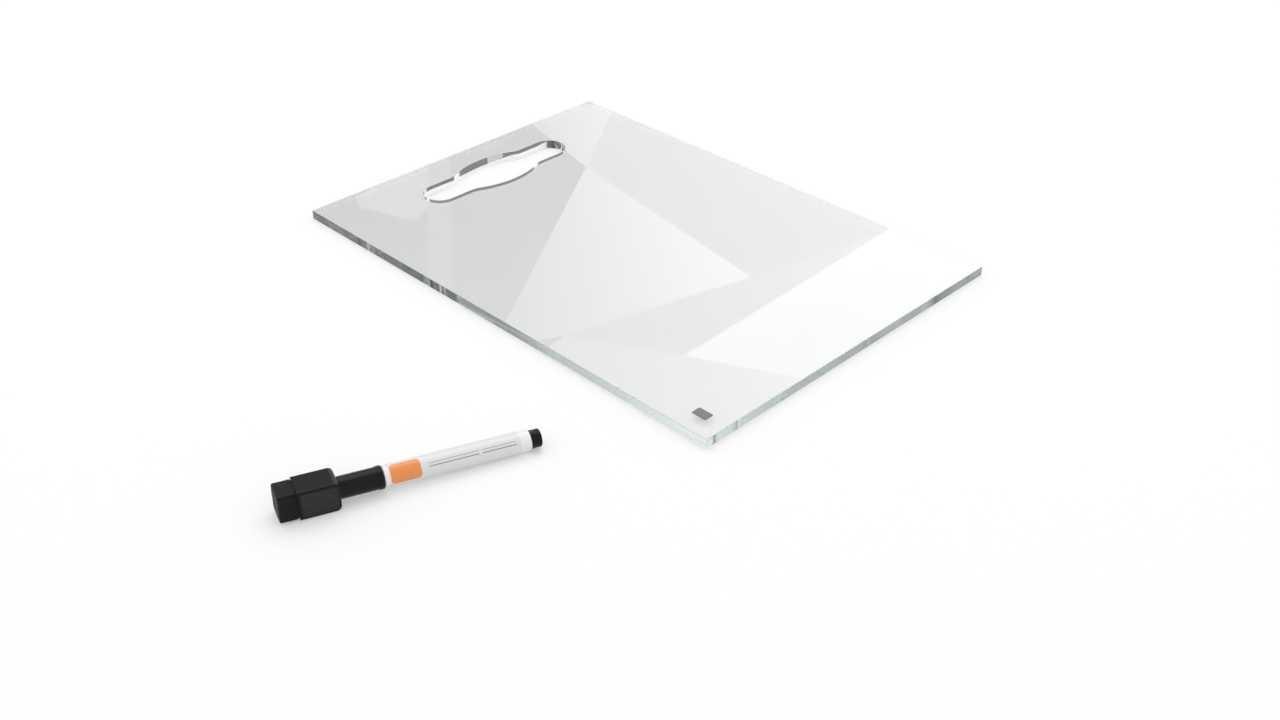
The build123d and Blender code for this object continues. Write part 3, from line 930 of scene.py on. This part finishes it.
class OBJECT_OT_memo_cap(bpy.types.Operator):
    """Finish the cap's shell, its magnet and its soft liner"""
    bl_idname = "object.memo_cap"
    bl_label = "Cap"

    def execute(self, context):
        pen, nodes = context.scene.memo_pen, frame["nodes"]
        finish_node(nodes["cap_shell"], moulded_plastic(
            "polypropylene_moulded_black_cap", pen.black_colour,
            roughness=0.18, grain=0.12 * MM, depth=0.003 * MM, specular=0.2))
        finish_node(nodes["cap_magnet"], sintered_ferrite(pen))
        finish_node(nodes["cap_liner"], moulded_plastic(
            "polyethylene_moulded_natural", linear("#E4E2DA"),
            roughness=0.4, grain=0.15 * MM, depth=0.004 * MM))
        return {"FINISHED"}


# The felt block along, up and across the pen, the radius of its edges, the cells that its
# flats are cut into, and the least length of an edge that is cut
FELT_SIZE = (8.2 * MM, 13.0 * MM, 12.0 * MM)
FELT_EDGE, FELT_EDGE_STEPS, FELT_CELL, LONG_EDGE = 0.9 * MM, 4, 0.28 * MM, 2 * MM
# The end that is glued to the cap stays flat. The skin is free this far from it, and the
# fibres stand a little further off.
SKIN_FREE, FIBRES_FREE = 0.6 * MM, 0.7 * MM
# How wide and how high the skin's lumps and its slow sags are, and how far it is drawn in
LUMP_WIDTH, LUMP_HEIGHT, SAG_WIDTH, SAG_HEIGHT = 0.5 * MM, 0.09 * MM, 4 * MM, 0.12 * MM
SKIN_INSET = 0.08 * MM
# The lumps are a sum of layers: how fast the layers lose height, how much finer each is than
# the one before, and their count
LUMP_FALL, LUMP_RATIO, LUMP_LAYERS = 0.8, 2.1, 4
# A fibre's length and its radius in millimetres, how far it stands up and curls as shares of
# its length, each from least to most, the sides and the steps that it is drawn with, and the
# seed of all the fibres
FIBRE_LENGTH, FIBRE_RADIUS = (0.3, 0.9), (0.008, 0.016)
FIBRE_LIFT, FIBRE_CURL = (0.1, 0.7), (-0.8, 0.8)
FIBRE_SIDES, FIBRE_STEPS, FIBRE_SEED = 3, 4, 7
# How much of its rise a fibre loses towards its tip, how much of its radius, and what share
# of its lift and its curl shows
FIBRE_DROOP, FIBRE_TAPER, FIBRE_STAND, FIBRE_BEND = 0.55, 0.7, 0.6, 0.5


def felt_block():
    """The felt's block with rounded edges and a lumpy skin, flat where it is glued."""
    length, height, depth = FELT_SIZE
    work = bmesh.new()
    bmesh.ops.create_cube(work, size=1.0)
    bmesh.ops.scale(work, vec=(length, height, depth), verts=work.verts)
    bmesh.ops.bevel(
        work, geom=work.edges[:], offset=FELT_EDGE, segments=FELT_EDGE_STEPS, profile=0.5,
        affect="EDGES")
    long_edges = [edge for edge in work.edges if edge.calc_length() > LONG_EDGE]
    cuts = int(height / FELT_CELL)
    bmesh.ops.subdivide_edges(work, edges=long_edges, cuts=cuts, use_grid_fill=True)
    work.normal_update()
    places = []
    for vert in work.verts:
        free = min(1.0, max(0.0, (length / 2 - vert.co.x) / SKIN_FREE))
        lump = noise.fractal(
            vert.co / LUMP_WIDTH, LUMP_FALL, LUMP_RATIO, LUMP_LAYERS) * LUMP_HEIGHT
        sag = noise.noise(vert.co / SAG_WIDTH) * SAG_HEIGHT
        places.append(vert.co + vert.normal * (lump + sag - SKIN_INSET) * free)
    for vert, place in zip(work.verts, places):
        vert.co = place
    work.normal_update()
    return work


def felt_fibres(work, count):
    """Loose fibres: each lies over a point of the skin, rises towards its tip and curls."""
    chance = Random(FIBRE_SEED)
    reach_in = FELT_SIZE[0] / 2 - FIBRES_FREE
    faces = [face for face in work.faces if face.calc_center_median().x < reach_in]
    weights = [face.calc_area() for face in faces]
    roots = chance.choices(faces, weights=weights, k=count)
    strands = [(face.calc_center_median(), face.normal.copy()) for face in roots]
    for root, normal in strands:
        across = normal.orthogonal().normalized()
        across.rotate(Matrix.Rotation(chance.uniform(0, 2 * pi), 3, normal))
        length, lift = chance.uniform(*FIBRE_LENGTH) * MM, chance.uniform(*FIBRE_LIFT)
        curl = chance.uniform(*FIBRE_CURL)
        side = normal.cross(across)
        radius = chance.uniform(*FIBRE_RADIUS) * MM
        rings = []
        for k in range(FIBRE_STEPS + 1):
            share = k / FIBRE_STEPS
            rise = lift * share * (1 - FIBRE_DROOP * share)
            centre = root + (
                across * (share - 0.5) + side * curl * share * share * FIBRE_BEND
                + normal * rise * FIBRE_STAND) * length
            slim = radius * (1 - FIBRE_TAPER * share)
            turns = [2 * pi * n / FIBRE_SIDES for n in range(FIBRE_SIDES)]
            rings.append([work.verts.new(centre + (side * cos(turn) + normal * sin(turn)) * slim)
                          for turn in turns])
        for lower, upper in zip(rings, rings[1:]):
            for k in range(FIBRE_SIDES):
                n = (k + 1) % FIBRE_SIDES
                work.faces.new((lower[k], lower[n], upper[n], upper[k]))


class OBJECT_OT_memo_felt(bpy.types.Operator):
    """Build the eraser's felt pad, with a lumpy skin and loose fibres"""
    bl_idname = "object.memo_felt"
    bl_label = "Eraser felt"

    def execute(self, context):
        pen = context.scene.memo_pen
        work = felt_block()
        felt_fibres(work, pen.felt_fibres)
        for face in work.faces:
            face.smooth = True
        place = pen_turn.to_4x4()
        place.translation = pen_start + pen_along * (FELT_SIZE[0] / 2)
        bmesh.ops.transform(work, matrix=place, verts=work.verts)
        felt_pad = mesh_piece("felt_pad", work, [pressed_fibre(
            "wool_felt_pressed", pen.felt_colour,
            spacing=0.07 * MM, depth=0.05 * MM, sheen=0.25)])
        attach(felt_pad, "cap")
        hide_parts("eraser_pad")
        return {"FINISHED"}


# Panel and registration

class VIEW3D_PT_memo_board(bpy.types.Panel):
    """Buttons and settings for the memo board"""
    bl_idname = "VIEW3D_PT_memo_board"
    bl_label = "Memo board"
    bl_space_type = "VIEW_3D"
    bl_region_type = "UI"
    bl_category = "Memo board"

    def draw(self, context):
        for operator in OPERATORS:
            self.layout.operator(operator.bl_idname)
        for group in ("memo_studio", "memo_board", "memo_pen"):
            settings = getattr(context.scene, group)
            box = self.layout.box()
            for name in settings.bl_rna.properties.keys():
                if name not in ("rna_type", "name"):
                    box.prop(settings, name)


OPERATORS = (
    SCENE_OT_memo_studio, OBJECT_OT_memo_sheet, OBJECT_OT_memo_badge, OBJECT_OT_memo_barrel,
    OBJECT_OT_memo_writing_end, OBJECT_OT_memo_cap, OBJECT_OT_memo_felt,
)
CLASSES = (StudioSettings, BoardSettings, PenSettings, *OPERATORS, VIEW3D_PT_memo_board)


def register():
    for item in CLASSES:
        bpy.utils.register_class(item)
    bpy.types.Scene.memo_studio = PointerProperty(type=StudioSettings)
    bpy.types.Scene.memo_board = PointerProperty(type=BoardSettings)
    bpy.types.Scene.memo_pen = PointerProperty(type=PenSettings)


def unregister():
    del bpy.types.Scene.memo_pen, bpy.types.Scene.memo_board, bpy.types.Scene.memo_studio
    for item in reversed(CLASSES):
        bpy.utils.unregister_class(item)


def main():
    """Makes the whole scene."""
    register()
    bpy.ops.scene.memo_studio()
    bpy.ops.object.memo_sheet()
    bpy.ops.object.memo_badge()
    bpy.ops.object.memo_barrel()
    bpy.ops.object.memo_writing_end()
    bpy.ops.object.memo_cap()
    bpy.ops.object.memo_felt()
    bpy.context.view_layer.update()


if __name__ == "__main__":
    main()
